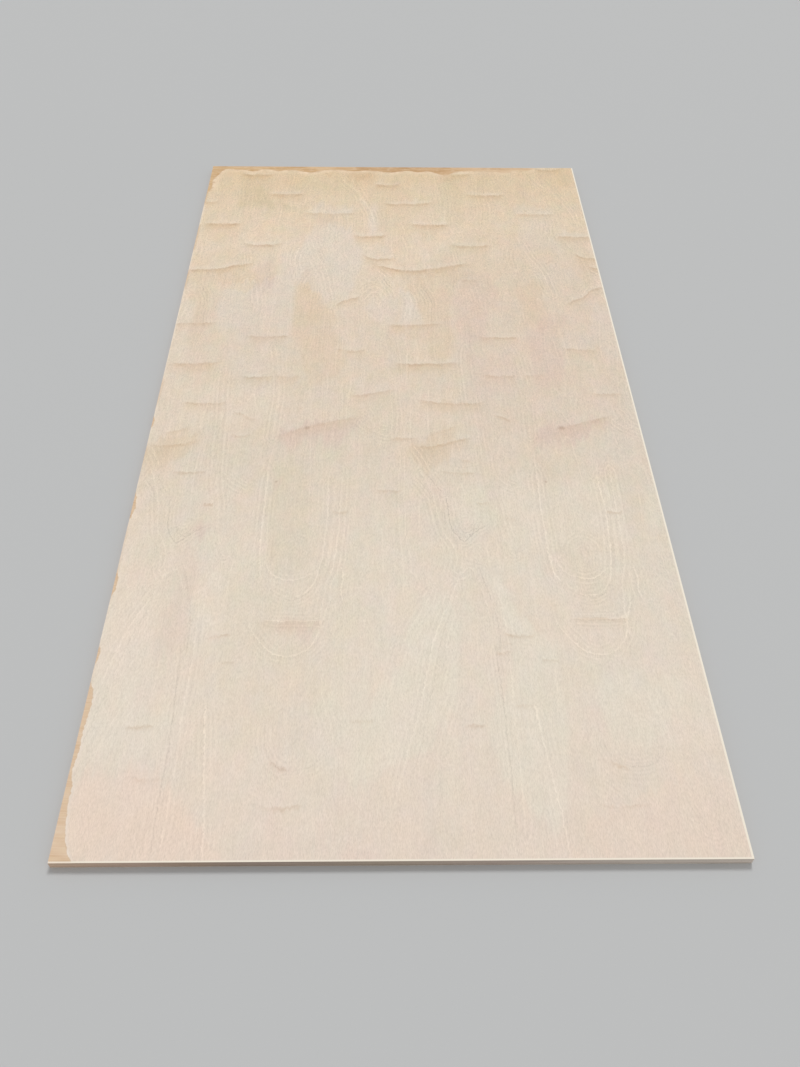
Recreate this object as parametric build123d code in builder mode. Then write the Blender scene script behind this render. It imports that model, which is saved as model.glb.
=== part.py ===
from build123d import *
import os

# A plywood sheet lying flat with its good face up: thin birch veneers on the face and the back,
# and a core of thicker veneers between them. The grain of the face runs along the sheet, and
# the grain of each veneer below lies at a right angle to the one above it.
#
# Sizes are in millimetres. +X runs across the sheet, +Y along it and +Z up. The origin is the
# centre of the underside, so the sheet rests on the plane Z = 0.

# The sheet as it is sold
sheet_length = 2440.0
sheet_width = 1220.0

# The veneers, as thick as they are after pressing and sanding
face_thickness = 0.75
back_thickness = 0.75
core_thickness = 1.5
core_count = 11

# The sander has gone through the face along the far edge and at places along the left edge.
# The veneer thins to nothing over this distance, sideways and lengthways.
feather_run = 6.0
# Each worn outline starts and ends this far outside the sheet.
overrun = 14.0

# Worn strip round the far left corner and along the far edge, measured from that corner
far_edge_outline = [
    (-overrun, -215),
    (4, -172),
    (12, -140),
    (11, -90),
    (24, -62),
    (33, -36),
    (50, -18),
    (78, -21),
    (112, -25),
    (144, -33),
    (160, -24),
    (200, -21),
    (225, -29),
    (248, -24),
    (290, -27),
    (338, -38),
    (364, -26),
    (390, -20),
    (440, -21),
    (475, -29),
    (510, -25),
    (555, -27),
    (600, -36),
    (645, -26),
    (668, -26),
    (695, -34),
    (722, -28),
    (756, -40),
    (792, -51),
    (814, -32),
    (840, -25),
    (900, -22),
    (930, -21),
    (970, -30),
    (1008, -25),
    (1036, -17),
    (1066, -18),
    (1084, -8),
    (1100, overrun),
]

# Worn strip up the left edge from the near left corner, measured from that corner
near_corner_outline = [
    (50, -overrun),
    (37, 3),
    (25, 27),
    (19, 47),
    (14, 80),
    (10, 112),
    (9, 150),
    (4, 173),
    (7, 205),
    (7, 265),
    (11, 312),
    (7, 350),
    (-overrun, 388),
]

# Short worn slivers further up the left edge: distance of the middle from the near edge,
# half the length of the outline, and depth
slivers = [
    (432, 50, 4),
    (620, 78, 5),
    (848, 82, 6),
    (1137, 48, 4),
]

left = -sheet_width / 2
near = -sheet_length / 2
far = sheet_length / 2
core_height = back_thickness + core_count * core_thickness

os.makedirs("parts", exist_ok=True)

# Back veneer, the one that lies on the floor
with BuildPart() as back_veneer:
    with BuildSketch(Plane.XY):
        Rectangle(sheet_width, sheet_length)
    extrude(amount=back_thickness)
back_veneer.part.label = "back_veneer"
export_step(back_veneer.part, "parts/back_veneer.step")

# Core veneers, numbered from the face down. The odd ones have their grain across the sheet.
for number in range(1, core_count + 1):
    grain = "across" if number % 2 else "along"
    name = f"core_veneer_{number:02d}_{grain}"
    with BuildPart() as core_veneer:
        with BuildSketch(Plane.XY.offset(core_height - number * core_thickness)):
            Rectangle(sheet_width, sheet_length)
        extrude(amount=core_thickness)
    core_veneer.part.label = name
    export_step(core_veneer.part, f"parts/{name}.step")

# Each worn area: the corner it is measured from, the way its feathered edge climbs, its outline,
# and the point outside the sheet that its closing line goes round, if it needs one
worn_areas = [
    ((left, far), (feather_run, -feather_run), far_edge_outline, [(-overrun, overrun)]),
    ((left, near), (feather_run, feather_run), near_corner_outline, [(-overrun, -overrun)]),
]
for middle, half_length, depth in slivers:
    sliver_outline = [
        (-overrun, middle - half_length),
        (depth, middle),
        (-overrun, middle + half_length),
    ]
    worn_areas.append(((left, near), (feather_run, 0), sliver_outline, []))

# Face veneer, with every worn area cut as a slanting prism that leaves a feathered edge
with BuildPart() as face_veneer:
    with BuildSketch(Plane.XY.offset(core_height)):
        Rectangle(sheet_width, sheet_length)
    extrude(amount=face_thickness)
    for corner, climb, outline, outer_corner in worn_areas:
        slant = Vector(climb[0], climb[1], face_thickness)
        with BuildSketch(Plane((corner[0], corner[1], core_height))):
            with BuildLine():
                Spline(*outline)
                Polyline(outline[-1], *outer_corner, outline[0])
            make_face()
        extrude(amount=slant.length, dir=slant, mode=Mode.SUBTRACT)
face_veneer.part.label = "face_veneer"
export_step(face_veneer.part, "parts/face_veneer.step")
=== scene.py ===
# %% [markdown]
# A sheet of birch plywood, dressed in Blender.
#
# The shape of the sheet comes from a CAD model: thirteen veneers pressed into one flat board of
# 1220 x 2440 x 18 mm. This script loads that model as a frame that is never moved, and then gives
# the board its looks. Almost everything the eye sees on such a board is figure, the pattern that
# the wood itself makes, so most of the cells below are about wood and few are about shape.

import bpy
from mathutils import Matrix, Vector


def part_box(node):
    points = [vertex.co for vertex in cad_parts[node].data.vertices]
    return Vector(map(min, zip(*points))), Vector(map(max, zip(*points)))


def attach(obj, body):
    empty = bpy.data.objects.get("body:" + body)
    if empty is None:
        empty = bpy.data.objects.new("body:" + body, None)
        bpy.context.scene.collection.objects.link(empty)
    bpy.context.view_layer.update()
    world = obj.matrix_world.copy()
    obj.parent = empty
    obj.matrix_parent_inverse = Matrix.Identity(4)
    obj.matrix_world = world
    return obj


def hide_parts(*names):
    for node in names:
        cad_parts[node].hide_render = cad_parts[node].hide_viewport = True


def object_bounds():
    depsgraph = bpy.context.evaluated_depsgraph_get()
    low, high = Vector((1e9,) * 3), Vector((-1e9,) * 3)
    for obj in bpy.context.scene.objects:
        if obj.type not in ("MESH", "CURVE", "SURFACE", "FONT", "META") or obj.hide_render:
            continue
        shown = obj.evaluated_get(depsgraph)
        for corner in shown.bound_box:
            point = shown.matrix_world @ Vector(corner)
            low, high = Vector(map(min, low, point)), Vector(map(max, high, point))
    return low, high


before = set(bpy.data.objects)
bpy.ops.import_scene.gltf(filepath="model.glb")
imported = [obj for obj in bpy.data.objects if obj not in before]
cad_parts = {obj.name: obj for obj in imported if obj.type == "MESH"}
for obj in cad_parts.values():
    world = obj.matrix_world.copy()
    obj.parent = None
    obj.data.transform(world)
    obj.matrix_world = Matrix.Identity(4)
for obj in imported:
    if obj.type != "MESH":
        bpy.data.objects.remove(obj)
cad_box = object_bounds()
print("CAD box", [round(c, 4) for corner in cad_box for c in corner])

# %% [markdown]
# Blender counts in metres, and a joiner counts in millimetres. The veneer, its figure and its
# wear are easier to picture in millimetres, so the lists below are written that way, with the
# origin in the middle of the sheet, x across it and y along it. Numbers are turned to metres only
# when they reach Blender.

# %% Units and the edges of the sheet
import math

import bmesh
import bpy
import numpy as np
from mathutils import Matrix, Vector, noise

MM = 1000.0

left, near = cad_box[0][0] * MM, cad_box[0][1] * MM
right, far, face_top = [c * MM for c in cad_box[1]]
face_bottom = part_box("face_veneer")[0].z * MM
print(f"sheet x {left:.0f}..{right:.0f}, y {near:.0f}..{far:.0f} mm")
print(f"face z {face_bottom:.2f}..{face_top:.2f} mm")

# %% [markdown]
# A few small helpers serve every material. Colours are given as sRGB hex values, but
# shaders work in linear light, so one function converts them. Another adds a node and fills its
# inputs in the same call. A key of the inputs is a socket's name or its number: a Mix node takes
# its share and two colours at 0, 6 and 7, and a Map Range node its value at 0, the range that the
# value comes from at 1 and 2, and the range that it goes to at 3 and 4. The last helper makes the
# soft noise that most of the wood is built of.

# %% Colour, node and material helpers
def linear(hex_colour):
    """An sRGB hex colour as the linear RGBA that Blender's sockets take."""
    parts = [int(hex_colour[i:i + 2], 16) / 255 for i in (1, 3, 5)]
    parts = [c / 12.92 if c <= 0.04045 else ((c + 0.055) / 1.055) ** 2.4 for c in parts]
    return (*parts, 1.0)


def fill(node, inputs):
    """Links or sets a node's inputs. A node given as a value stands for its first output in use."""
    for socket, value in inputs.items():
        if isinstance(value, bpy.types.Node):
            value = next(output for output in value.outputs if output.enabled)
        if isinstance(value, bpy.types.NodeSocket):
            node.id_data.links.new(value, node.inputs[socket])
        else:
            node.inputs[socket].default_value = linear(value) if isinstance(value, str) else value


def add(tree, kind, inputs=None, stops=(), **settings):
    """Adds a node, sets its properties, fills its inputs and lays out its colour ramp."""
    node = tree.nodes.new("ShaderNode" + kind)
    for name, value in settings.items():
        setattr(node, name, value)
    fill(node, inputs or {})
    for number, (position, colour) in enumerate(stops):
        elements = node.color_ramp.elements
        element = elements[number] if number < len(elements) else elements.new(1.0)
        element.position = position
        element.color = linear(colour) if isinstance(colour, str) else (colour, colour, colour, 1.0)
    return node


def new_material(name):
    """An empty material with its tree and its Principled shader, wired to the output."""
    material = bpy.data.materials.new(name)
    material.use_nodes = True
    tree = material.node_tree
    tree.nodes.clear()
    shader = add(tree, "BsdfPrincipled")
    add(tree, "OutputMaterial", {"Surface": shader})
    return material, tree, shader


def chance(tree, across, along, up, detail=2.0, **settings):
    """Noise around 0.5 in blotches of that many mm along X, Y and Z, finer with more detail."""
    coords = add(tree, "TexCoord").outputs["Object"]
    place = add(tree, "Mapping", {"Vector": coords, "Scale": (MM / across, MM / along, MM / up)})
    return add(tree, "TexNoise", {"Vector": place, "Scale": 1.0, "Detail": detail, **settings})


print("birch face", [round(c, 3) for c in linear("#E2D5C4")])

# %% [markdown]
# The camera stands where the photographer stood: in front of the near edge, at the height of
# the eyes, looking down along the sheet. A wide lens makes the far edge look half as wide as the
# near one. The place and the angles were worked out from the four corners of the sheet.

# %% Camera
camera_place = Vector((-0.0338, -1.9293, 1.6461))
looking_down = 0.83609
turned_right = 0.02534
leaning = 0.01838
FOCAL_LENGTH = 32.94

forward = Vector((
    math.sin(turned_right) * math.cos(looking_down),
    math.cos(turned_right) * math.cos(looking_down),
    -math.sin(looking_down),
))
level_right = Vector((math.cos(turned_right), -math.sin(turned_right), 0.0))
level_up = level_right.cross(forward)
camera_right = level_right * math.cos(leaning) + level_up * math.sin(leaning)
camera_up = level_up * math.cos(leaning) - level_right * math.sin(leaning)

camera_data = bpy.data.cameras.new("camera")
camera_data.lens = FOCAL_LENGTH
camera = bpy.data.objects.new("camera", camera_data)
axes = Matrix((camera_right, camera_up, -forward)).transposed()
camera.matrix_world = Matrix.Translation(camera_place) @ axes.to_4x4()
bpy.context.scene.collection.objects.link(camera)
bpy.context.scene.camera = camera
print("camera", [round(c, 3) for c in camera.location], "lens", camera_data.lens)

# %% [markdown]
# The light is that of a plain hall: a soft even sky of lamps all round and a softer key from
# above and behind the far end, which leaves the near edge in half shade and draws a short
# shadow along it. World and key together bring a level surface to about the colour it is painted.

# %% World, key light and floor
scene = bpy.context.scene
scene.view_settings.view_transform = "Standard"

SKY_LEVEL = 0.68
SKY_AS_SEEN = 0.72
KEY_LEVEL = 0.32
KEY_HEIGHT = math.radians(56)
KEY_SPREAD = math.radians(16)

world = bpy.data.worlds.new("soft_hall_light")
scene.world = world
world.use_nodes = True
world.node_tree.nodes.clear()
rays = add(world.node_tree, "LightPath")
camera_rays, glossy_rays = rays.outputs["Is Camera Ray"], rays.outputs["Is Glossy Ray"]
seen = add(world.node_tree, "Math", {0: camera_rays, 1: glossy_rays}, operation="MAXIMUM")
sky_strength = add(world.node_tree, "MapRange", {0: seen, 3: SKY_LEVEL, 4: SKY_AS_SEEN})
sky = add(world.node_tree, "Background", {"Strength": sky_strength})
add(world.node_tree, "OutputWorld", {"Surface": sky})

key_data = bpy.data.lights.new("key", "SUN")
key_data.energy = KEY_LEVEL * math.pi / math.sin(KEY_HEIGHT)
key_data.angle = KEY_SPREAD
key = bpy.data.objects.new("key", key_data)
towards_key = Vector((0.12, math.cos(KEY_HEIGHT), math.sin(KEY_HEIGHT)))
key.rotation_mode = "QUATERNION"
key.rotation_quaternion = towards_key.to_track_quat("Z", "Y")
scene.collection.objects.link(key)

# The floor is left open under the sheet, where nobody sees it, so that the underside is lit
# when a camera looks at it from below
FLOOR_REACH = 30.0
FLOOR_DROP = 0.0001
HIDDEN_INSET = 1.0
floor_mesh = bpy.data.meshes.new("floor")
floor_shape = bmesh.new()
bmesh.ops.create_grid(floor_shape, x_segments=1, y_segments=1, size=1.0)
hidden = list(floor_shape.faces)
outer_rim = bmesh.ops.extrude_edge_only(floor_shape, edges=floor_shape.edges[:])["geom"]
outer_rim = [v for v in outer_rim if isinstance(v, bmesh.types.BMVert)]
inner_rim = [v for v in floor_shape.verts if v not in outer_rim]
hole = ((right - HIDDEN_INSET) / MM, (far - HIDDEN_INSET) / MM, 1.0)
bmesh.ops.scale(floor_shape, verts=outer_rim, vec=(FLOOR_REACH, FLOOR_REACH, 1.0))
bmesh.ops.scale(floor_shape, verts=inner_rim, vec=hole)
bmesh.ops.delete(floor_shape, geom=hidden, context="FACES_ONLY")
bmesh.ops.recalc_face_normals(floor_shape, faces=floor_shape.faces)
bmesh.ops.translate(floor_shape, verts=floor_shape.verts, vec=(0, 0, -FLOOR_DROP))
floor_shape.to_mesh(floor_mesh)
floor_shape.free()
floor = bpy.data.objects.new("floor", floor_mesh)
scene.collection.objects.link(floor)

floor_paint, tree, shader = new_material("plain_pale_floor")
fill(shader, {"Base Color": "#C9CACA", "Roughness": 0.9})
from_below = add(tree, "NewGeometry").outputs["Backfacing"]
floor_mix = add(tree, "MixShader", {0: from_below, 1: shader, 2: add(tree, "BsdfTransparent")})
fill(tree.nodes["Material Output"], {"Surface": floor_mix})
floor_mesh.materials.append(floor_paint)
print("lights: world", SKY_LEVEL, "key", round(key_data.energy, 2))

# %% [markdown]
# The face veneer was peeled from a log as one long ribbon, and belt sanding went right through
# it along the far edge and at places along the left edge. The CAD node has that worn outline. To
# carry the figure, though, a surface needs points to hold it, and the CAD node has points only
# at its rim. So a grid of small cells takes its place, and its left and far sides are drawn to
# the same worn outline, which is read here from the node's own corners.

# %% Read the worn outline from the CAD node
FEATHER = 6.0
# The left side and the far side of the grid meet at this point of the outline
TURN_X, TURN_Y = -566.0, 1195.0
FAR_STRIP = 1100.0

rim_points = np.array([v.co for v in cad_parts["face_veneer"].data.vertices]) * MM


def worn_outline(level, shift):
    """The left side as x by y and the far side as y by x, of the face at that level."""
    at_level = rim_points[np.abs(rim_points[:, 2] - level) < 0.01]
    turn = (TURN_X + shift, TURN_Y - shift)
    side = at_level[(at_level[:, 0] < turn[0]) & (at_level[:, 1] < turn[1])][:, 1::-1].tolist()
    end = at_level[(at_level[:, 0] > turn[0]) & (at_level[:, 1] > FAR_STRIP)][:, :2].tolist()
    side = np.array(sorted(side + [[turn[1], turn[0]]]))
    end = np.array(sorted(end + [list(turn)]))
    return side, end


side_low, end_low = worn_outline(face_bottom, 0.0)
side_top, end_top = worn_outline(face_top, FEATHER)
print("worn outline:", len(side_low), "points on the left,", len(end_low), "on the far side")

# %% [markdown]
# Growing the grid: bmesh makes a flat square of cells, and each corner is then sent to its
# place. The outermost row and column lie on the worn outline, thinned to almost nothing where the
# sander went through, and the next ones lie at the top of the feathered edge. The rim is then
# extruded down to the veneer's underside and closed with one face, so the piece is a closed
# solid of the same thickness as the node that it stands for.

# %% Face veneer as a grid
COLUMNS, ROWS = 240, 320
THINNEST = 0.05


def rim_height(gap_low, gap_top):
    """Height of the rim: the veneer's top at a sound edge, down to its underside where worn."""
    worn = np.clip(gap_top / FEATHER, 0, 1)
    worn = np.where(gap_low > 0.01, 1.0, worn)
    return face_top - worn * (face_top - face_bottom - THINNEST)


def face_corner(u, v):
    """The place in mm of the grid's corner at column u and row v, both from 0 to 1."""
    column, row = round(u * COLUMNS), round(v * ROWS)
    turn_share = row / ROWS
    y_left = near + turn_share * (TURN_Y - near)
    x_rim = float(np.interp(y_left, side_low[:, 0], side_low[:, 1]))
    x_inner = x_rim + FEATHER
    x = x_rim if column == 0 else x_inner + (column - 1) / (COLUMNS - 1) * (right - x_inner)
    x_top = TURN_X + (x - x_rim) / (right - x_rim) * (right - TURN_X)
    y_rim = float(np.interp(x_top, end_low[:, 0], end_low[:, 1]))
    y_inner = y_rim - FEATHER
    y = y_rim if row == ROWS else near + row / (ROWS - 1) * (y_inner - near)
    z = face_top
    if column == 0:
        gap_top = float(np.interp(y, side_top[:, 0], side_top[:, 1])) - left
        z = min(z, float(rim_height(x_rim - left, gap_top)))
    if row == ROWS:
        gap_top = far - float(np.interp(x, end_top[:, 0], end_top[:, 1]))
        z = min(z, float(rim_height(far - y_rim, gap_top)))
    return Vector((x, y, z)) / MM


face_shape = bmesh.new()
bmesh.ops.create_grid(face_shape, x_segments=COLUMNS, y_segments=ROWS, size=0.5)
for corner in face_shape.verts:
    corner.co = face_corner(corner.co.x + 0.5, corner.co.y + 0.5)
rim = [e for e in face_shape.edges if e.is_boundary]
walls = bmesh.ops.extrude_edge_only(face_shape, edges=rim)["geom"]
for corner in walls:
    if isinstance(corner, bmesh.types.BMVert):
        corner.co.z = face_bottom / MM
bottom_rim = [e for e in walls if isinstance(e, bmesh.types.BMEdge) and e.is_boundary]
bmesh.ops.edgeloop_fill(face_shape, edges=bottom_rim)
bmesh.ops.recalc_face_normals(face_shape, faces=face_shape.faces)
still_open = sum(e.is_boundary for e in face_shape.edges)
face_mesh = bpy.data.meshes.new("face_veneer_sanded")
face_shape.to_mesh(face_mesh)
face_shape.free()
face = bpy.data.objects.new("face_veneer_sanded", face_mesh)
scene.collection.objects.link(face)
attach(face, "root")
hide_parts("face_veneer")
print("face veneer:", len(face_mesh.vertices), "points, open edges", still_open)

# %% [markdown]
# What the figure is. A log is peeled like a roll of paper, so the same knots, rings and
# ripples come round again with each turn of the log: on this sheet every 638 mm across. Three
# kinds of figure show. Growth rings are cut almost along their surface and wander over the sheet
# as long nested loops. Ripple marks are short level creases where the fibres dip, pale above and
# tan below. And the wood changes tone in soft patches that follow the grain. Each is worked out
# here as a smooth number at each corner of the grid, and the shader turns the numbers to colour.

# %% Tools for drawing figure
LOG_TURN = 638.0
TURNS = (-1, 0, 1)

places = np.array([v.co for v in face_mesh.vertices]) * MM
px, py = places[:, 0], places[:, 1]


def soft_step(value, start, end):
    """0 up to start, 1 from end, and smooth between."""
    t = np.clip((value - start) / (end - start), 0, 1)
    return t * t * (3 - 2 * t)


def drift(across, along, seed, x=px, y=py):
    """Smooth chance from -1 to 1, in blotches of that many mm across and along the sheet."""
    return np.array([noise.noise((a, b, seed)) for a, b in zip(x / across, y / along)])


def store(name, values):
    """Keeps one number per corner of the face veneer, for the shader to read."""
    layer = face_mesh.attributes.new(name, "FLOAT", "POINT")
    layer.data.foreach_set("value", values.astype(np.float32))
    print(f"{name}: {values.min():.2f} to {values.max():.2f}")


# %% [markdown]
# Growth rings. Where the knife runs almost along a ring, the ring shows as a loop, as a
# hill shows on a map as contour lines. Most of them are faint, so slow chance with a few long
# hills in it is enough: the shader draws its contour lines. It is told the slope of the hills
# too, so that it can keep every line equally thin, on steep ground and on flat.

# %% Faint growth rings
bulges = [
    # place across, half width, and height in rings at some places along the sheet
    (-228, 66, [(-1160, 0), (-1030, 1.8), (-800, 2.6), (-640, 3.8), (-500, 4.2), (-100, 4.6),
                (560, 4.6), (770, 0)]),
    (-490, 40, [(-500, 0), (-475, 2.2), (-400, 4.6), (350, 4.2), (720, 0)]),
    (-482, 48, [(-1240, 5.2), (-640, 3.6), (-555, 0)]),
    (-90, 55, [(-1240, 4.0), (-760, 4.2), (-560, 0)]),
    (-90, 50, [(500, 0), (800, 3.8), (1240, 4.6)]),
    (-400, 60, [(700, 0), (900, 3.4), (1240, 4.2)]),
]


def rings_at(x, y):
    """The number of rings between the knife and the pith, up to a constant, at each place."""
    height = 3.2 * drift(85, 1300, 3.1, x, y) + 1.2 * drift(30, 500, 5.7, x, y)
    height = height + 1.4 * drift(190, 420, 11.4, x, y) + 0.15 * drift(14, 60, 8.2, x, y)
    lean = 9 * drift(500, 260, 1.3, x, y)
    for middle, half_width, heights in bulges:
        size = np.interp(y, *zip(*heights))
        for turn in TURNS:
            height = height + size * np.exp(-((x - middle - turn * LOG_TURN - lean) / half_width) ** 2)
    return 1.6 * height


ring = rings_at(px, py)
ring_slope = np.hypot(rings_at(px + 2, py) - ring, rings_at(px, py + 2) - ring) / 2
store("ring", ring)
store("ring_slope", ring_slope)

# %% [markdown]
# Some ring lines stand out, and the eye follows them over the whole sheet: nested cups round a
# hidden knot, a pointed fold beside them, and long flanks that run up the sheet. They are drawn
# for one turn of the log and come again with the next turn. For each place on the face the
# script works out how far it lies to the side of its nearest line. The shader turns that into a
# thin pale stroke with darker ones beside it, far finer than the cells of the grid.

# %% Strong ring lines
ring_lines = [
    # strength, below zero for a dark line, and points in mm for the first turn of the log
    (1.6, [(-306, -180), (-308, -420), (-303, -560), (-288, -600), (-262, -628), (-232, -641),
           (-202, -630), (-182, -600), (-172, -550), (-164, -470), (-160, -380), (-163, -290),
           (-150, -205)]),
    (1.5, [(-292, -535), (-280, -572), (-258, -588), (-232, -595), (-205, -586), (-190, -570)]),
    (-0.35, [(-252, -520), (-248, -496), (-228, -483), (-208, -496), (-200, -522)]),
    (1.1, [(-128, -200), (-132, -330), (-134, -420), (-138, -500), (-144, -560), (-156, -600),
           (-161, -650), (-165, -700), (-160, -780)]),
    (1.9, [(-124, -555), (-121, -590), (-125, -625), (-121, -650)]),
    (-1.8, [(-526, -330), (-524, -400), (-519, -440), (-505, -472), (-491, -487), (-473, -468),
            (-456, -450), (-438, -440), (-424, -436)]),
    (-1.2, [(-500, -430), (-496, -452), (-486, -462), (-472, -452), (-462, -430)]),
    (1.1, [(-612, -205), (-585, -255), (-560, -330), (-548, -400), (-538, -455), (-516, -500),
           (-510, -540), (-518, -570), (-505, -583), (-484, -562), (-466, -600), (-454, -660),
           (-446, -740)]),
    (-1.2, [(-446, -740), (-440, -860), (-437, -1000), (-438, -1230)]),
    (0.6, [(-450, 290), (-449, 60), (-440, -60), (-434, -200), (-426, -300), (-412, -380),
           (-403, -460), (-381, -532), (-360, -503), (-335, -487)]),
    (0.8, [(-431, -570), (-424, -650), (-418, -720), (-417, -820), (-420, -920), (-418, -1020),
           (-422, -1230)]),
    (1.0, [(-498, -550), (-512, -600), (-535, -665), (-560, -729), (-576, -793), (-588, -857),
           (-601, -920), (-616, -975), (-632, -1039), (-662, -1157)]),
    (-0.8, [(-512, -640), (-540, -710), (-558, -780), (-572, -850), (-586, -930), (-604, -1010),
            (-628, -1090)]),
    (-1.3, [(-484, -550), (-466, -562), (-453, -611), (-440, -666), (-433, -720), (-434, -793)]),
    (-1.2, [(-300, -590), (-286, -609), (-262, -634), (-232, -649), (-202, -637), (-180, -606)]),
    (-0.3, [(-528, -770), (-546, -800), (-561, -850), (-568, -900)]),
    (0.6, [(-530, -880), (-546, -930), (-560, -975), (-574, -1030)]),
    (0.8, [(-556, -590), (-580, -657), (-612, -720), (-634, -775), (-653, -857), (-668, -930)]),
    (0.8, [(-412, -262), (-396, -290), (-376, -311), (-352, -322)]),
    (1.8, [(-598, -172), (-582, -208), (-568, -242)]),
    (-1.4, [(-592, -285), (-575, -315), (-562, -345)]),
    (-1.5, [(-570, -270), (-552, -305), (-536, -330)]),
    (1.4, [(-318, -670), (-310, -715), (-288, -752), (-264, -781), (-233, -794), (-206, -787),
           (-183, -768), (-169, -738), (-157, -690), (-142, -630)]),
    (1.4, [(-379, -890), (-374, -950), (-367, -1020), (-358, -1090), (-352, -1150), (-346, -1230)]),
    (-0.6, [(-262, -930), (-258, -985), (-249, -1018), (-230, -1040), (-205, -1047), (-172, -1041),
            (-150, -1022), (-134, -1004)]),
    (0.6, [(-156, -870), (-146, -920), (-133, -955), (-128, -995)]),
    (-0.5, [(-128, -1080), (-118, -1130), (-100, -1163), (-84, -1175), (-71, -1150), (-62, -1095)]),
    (0.3, [(-285, -1085), (-262, -1100), (-240, -1122)]),
    (0.7, [(-342, 268), (-322, 200), (-312, 120), (-302, 20), (-306, -70), (-308, -180)]),
    (1.0, [(-108, -50), (-86, -88), (-60, -112), (-38, -128), (-23, -134), (-13, -112), (-11, -50),
           (-15, 20), (-12, 90)]),
    (1.0, [(-78, -30), (-64, -80), (-46, -104), (-27, -112)]),
    (1.2, [(-265, 812), (-252, 745), (-241, 700), (-228, 656), (-212, 620), (-198, 570), (-190, 520),
           (-183, 470), (-181, 425)]),
    (1.1, [(-284, 735), (-296, 690), (-299, 645), (-292, 600), (-288, 560)]),
    (-0.7, [(-236, 582), (-250, 594), (-263, 576), (-276, 545), (-286, 500)]),
    (0.7, [(-243, 655), (-230, 622), (-222, 602), (-212, 622)]),
    (1.0, [(-452, 515), (-441, 540), (-421, 546), (-406, 520), (-398, 470), (-391, 415)]),
    (-0.9, [(-470, 602), (-464, 560), (-468, 495)]),
    (-2.3, [(-34, 552), (-22, 524), (-10, 502)]),
    (2.4, [(-54, 596), (-38, 577), (-25, 560)]),
    (1.0, [(5, 505), (24, 486), (40, 462), (48, 425), (42, 385), (38, 335)]),
    (1.1, [(-98, 462), (-78, 500), (-57, 509), (-37, 492), (-26, 465), (-17, 436)]),
    (1.1, [(-92, 440), (-73, 474), (-56, 484), (-42, 468), (-34, 438)]),
    (-1.3, [(-566, 528), (-553, 490), (-540, 458), (-534, 420), (-538, 370), (-533, 320)]),
    (-1.1, [(-373, 604), (-366, 560), (-368, 505)]),
    (-1.5, [(-450, 702), (-446, 660), (-440, 622)]),
    (1.2, [(-185, 1192), (-166, 1130), (-142, 1085), (-112, 1040), (-84, 962), (-66, 890), (-60, 830)]),
    (0.7, [(-140, 1140), (-120, 1070), (-104, 990)]),
    (-0.6, [(-170, 940), (-158, 860), (-166, 780)]),
    (0.7, [(-600, 800), (-585, 700), (-592, 640)]),
    (0.4, [(-480, 1100), (-472, 980), (-478, 880)]),
    (1.2, [(-286, -700), (-258, -703), (-225, -704), (-194, -703), (-166, -700)]),
    (0.3, [(-340, 1180), (-352, 1060), (-344, 940), (-356, 820)]),
]


def smooth_line(points, step=9.0):
    """The same line as a Catmull-Rom curve, with a point about every step mm."""
    knots = np.array([points[0], *points, points[-1]], float)
    curve = []
    for a, b, c, d in zip(knots, knots[1:], knots[2:], knots[3:]):
        for t in np.arange(0, 1, step / max(step, math.dist(b, c))):
            curve.append(0.5 * (2 * b + (c - a) * t + (2 * a - 5 * b + 4 * c - d) * t ** 2
                                + (3 * b - a - 3 * c + d) * t ** 3))
    return np.array([*curve, knots[-1]])


# How far in mm a line's stroke and its echoes reach, and how much each turn of the log shifts it
LINE_REACH = 14.0
ECHO_REACH = 40.0
TURN_RISE = 4.0
beside_line = np.full(len(px), LINE_REACH)
line_strength = np.zeros(len(px))
from_line = np.full(len(px), ECHO_REACH)
shaken_x = px + 1.8 * drift(20, 60, 91.0)
shaken_y = py + 2.6 * drift(40, 26, 93.0)
for strength, points in ring_lines:
    for turn in TURNS:
        curve = smooth_line(points) + (turn * LOG_TURN, turn * TURN_RISE)
        low, high = curve.min(0) - ECHO_REACH, curve.max(0) + ECHO_REACH
        within_x = (shaken_x > low[0]) & (shaken_x < high[0])
        close = np.flatnonzero(within_x & (shaken_y > low[1]) & (shaken_y < high[1]))
        if not len(close):
            continue
        spot = np.stack([shaken_x[close], shaken_y[close]], 1)[:, None]
        first, step = curve[:-1], np.diff(curve, axis=0)
        share = np.clip(((spot - first) * step).sum(2) / (step ** 2).sum(1), 0, 1)
        off = spot - first - share[..., None] * step
        gap = np.hypot(off[..., 0], off[..., 1])
        nearest = gap.argmin(1)
        rows = np.arange(len(close))
        gap = gap[rows, nearest]
        off = off[rows, nearest]
        side = np.sign(step[nearest, 0] * off[:, 1] - step[nearest, 1] * off[:, 0])
        along = (nearest + share[rows, nearest]) / len(step)
        taper = soft_step(along, 0, 0.12) * (1 - soft_step(along, 0.88, 1))
        from_line[close] = np.minimum(from_line[close], gap + ECHO_REACH * (1 - taper))
        closer = (gap < np.abs(beside_line[close])) & (gap < LINE_REACH)
        chosen = close[closer]
        beside_line[chosen] = (gap * side)[closer]
        line_strength[chosen] = (strength * taper * (1 - soft_step(gap, 9, LINE_REACH)))[closer]
store("beside_line", beside_line)
store("line_strength", line_strength)
store("from_line", from_line)
print(len(ring_lines), "ring lines in each turn")
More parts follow.
